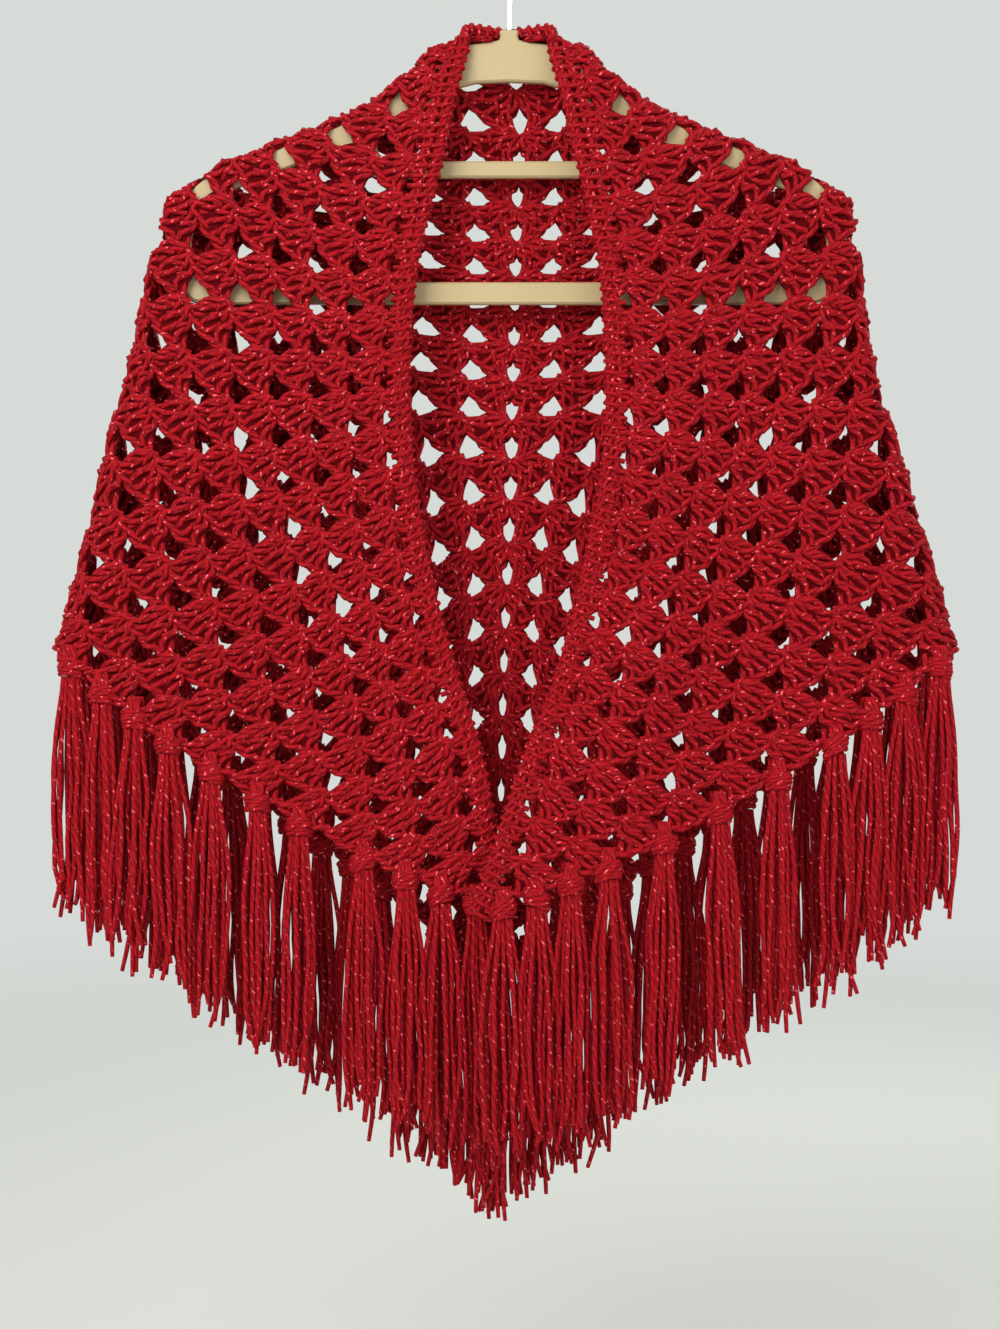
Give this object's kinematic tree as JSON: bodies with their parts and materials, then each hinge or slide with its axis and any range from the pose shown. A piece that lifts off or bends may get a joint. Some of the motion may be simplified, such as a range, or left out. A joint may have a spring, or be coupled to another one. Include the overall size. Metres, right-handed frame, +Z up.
{
  "type": "crochet shawl on a clothes hanger",
  "caption": "Triangular crochet shawl with a fringe of tassels, draped over a slim hanger with open fronts, held up by the hanger's hook.",
  "frame": {"origin": "inside top of the hanger's hook, where it rests on a rail, peg or door hook", "axes": "+Z up, +Y towards the back of the shawl, +X to the viewer's right; the open front faces -Y"},
  "size_m": [0.5838, 0.0663, 0.8435],
  "materials": {
    "crimson_yarn": "soft spun yarn with small metallic flecks",
    "cream_hanger": "satin moulded surface",
    "hook_wire": "bright plated wire"
  },
  "bodies": {
    "root": {"hanger_body": "cream_hanger", "hanger_hook": "hook_wire", "cloth_front_left": "crimson_yarn", "edging_left": "crimson_yarn", "cloth_front_right": "crimson_yarn", "edging_right": "crimson_yarn", "cloth_back": "crimson_yarn", "tassel_left_00": "crimson_yarn", "tassel_left_01": "crimson_yarn", "tassel_left_02": "crimson_yarn", "tassel_left_03": "crimson_yarn", "tassel_left_04": "crimson_yarn", "tassel_left_05": "crimson_yarn", "tassel_left_06": "crimson_yarn", "tassel_left_07": "crimson_yarn", "tassel_left_08": "crimson_yarn", "tassel_left_09": "crimson_yarn", "tassel_left_10": "crimson_yarn", "tassel_left_11": "crimson_yarn", "tassel_left_12": "crimson_yarn", "tassel_left_13": "crimson_yarn", "tassel_left_14": "crimson_yarn", "tassel_left_15": "crimson_yarn", "tassel_left_16": "crimson_yarn", "tassel_left_17": "crimson_yarn", "tassel_left_18": "crimson_yarn", "tassel_left_19": "crimson_yarn", "tassel_left_20": "crimson_yarn", "tassel_left_21": "crimson_yarn", "tassel_left_22": "crimson_yarn", "tassel_left_23": "crimson_yarn", "tassel_left_24": "crimson_yarn", "tassel_right_00": "crimson_yarn", "tassel_right_01": "crimson_yarn", "tassel_right_02": "crimson_yarn", "tassel_right_03": "crimson_yarn", "tassel_right_04": "crimson_yarn", "tassel_right_05": "crimson_yarn", "tassel_right_06": "crimson_yarn", "tassel_right_07": "crimson_yarn", "tassel_right_08": "crimson_yarn", "tassel_right_09": "crimson_yarn", "tassel_right_10": "crimson_yarn", "tassel_right_11": "crimson_yarn", "tassel_right_12": "crimson_yarn", "tassel_right_13": "crimson_yarn", "tassel_right_14": "crimson_yarn", "tassel_right_15": "crimson_yarn", "tassel_right_16": "crimson_yarn", "tassel_right_17": "crimson_yarn", "tassel_right_18": "crimson_yarn", "tassel_right_19": "crimson_yarn", "tassel_right_20": "crimson_yarn", "tassel_right_21": "crimson_yarn", "tassel_right_22": "crimson_yarn", "tassel_right_23": "crimson_yarn", "tassel_right_24": "crimson_yarn", "tassel_spine": "crimson_yarn"}
  },
  "joints": []
}
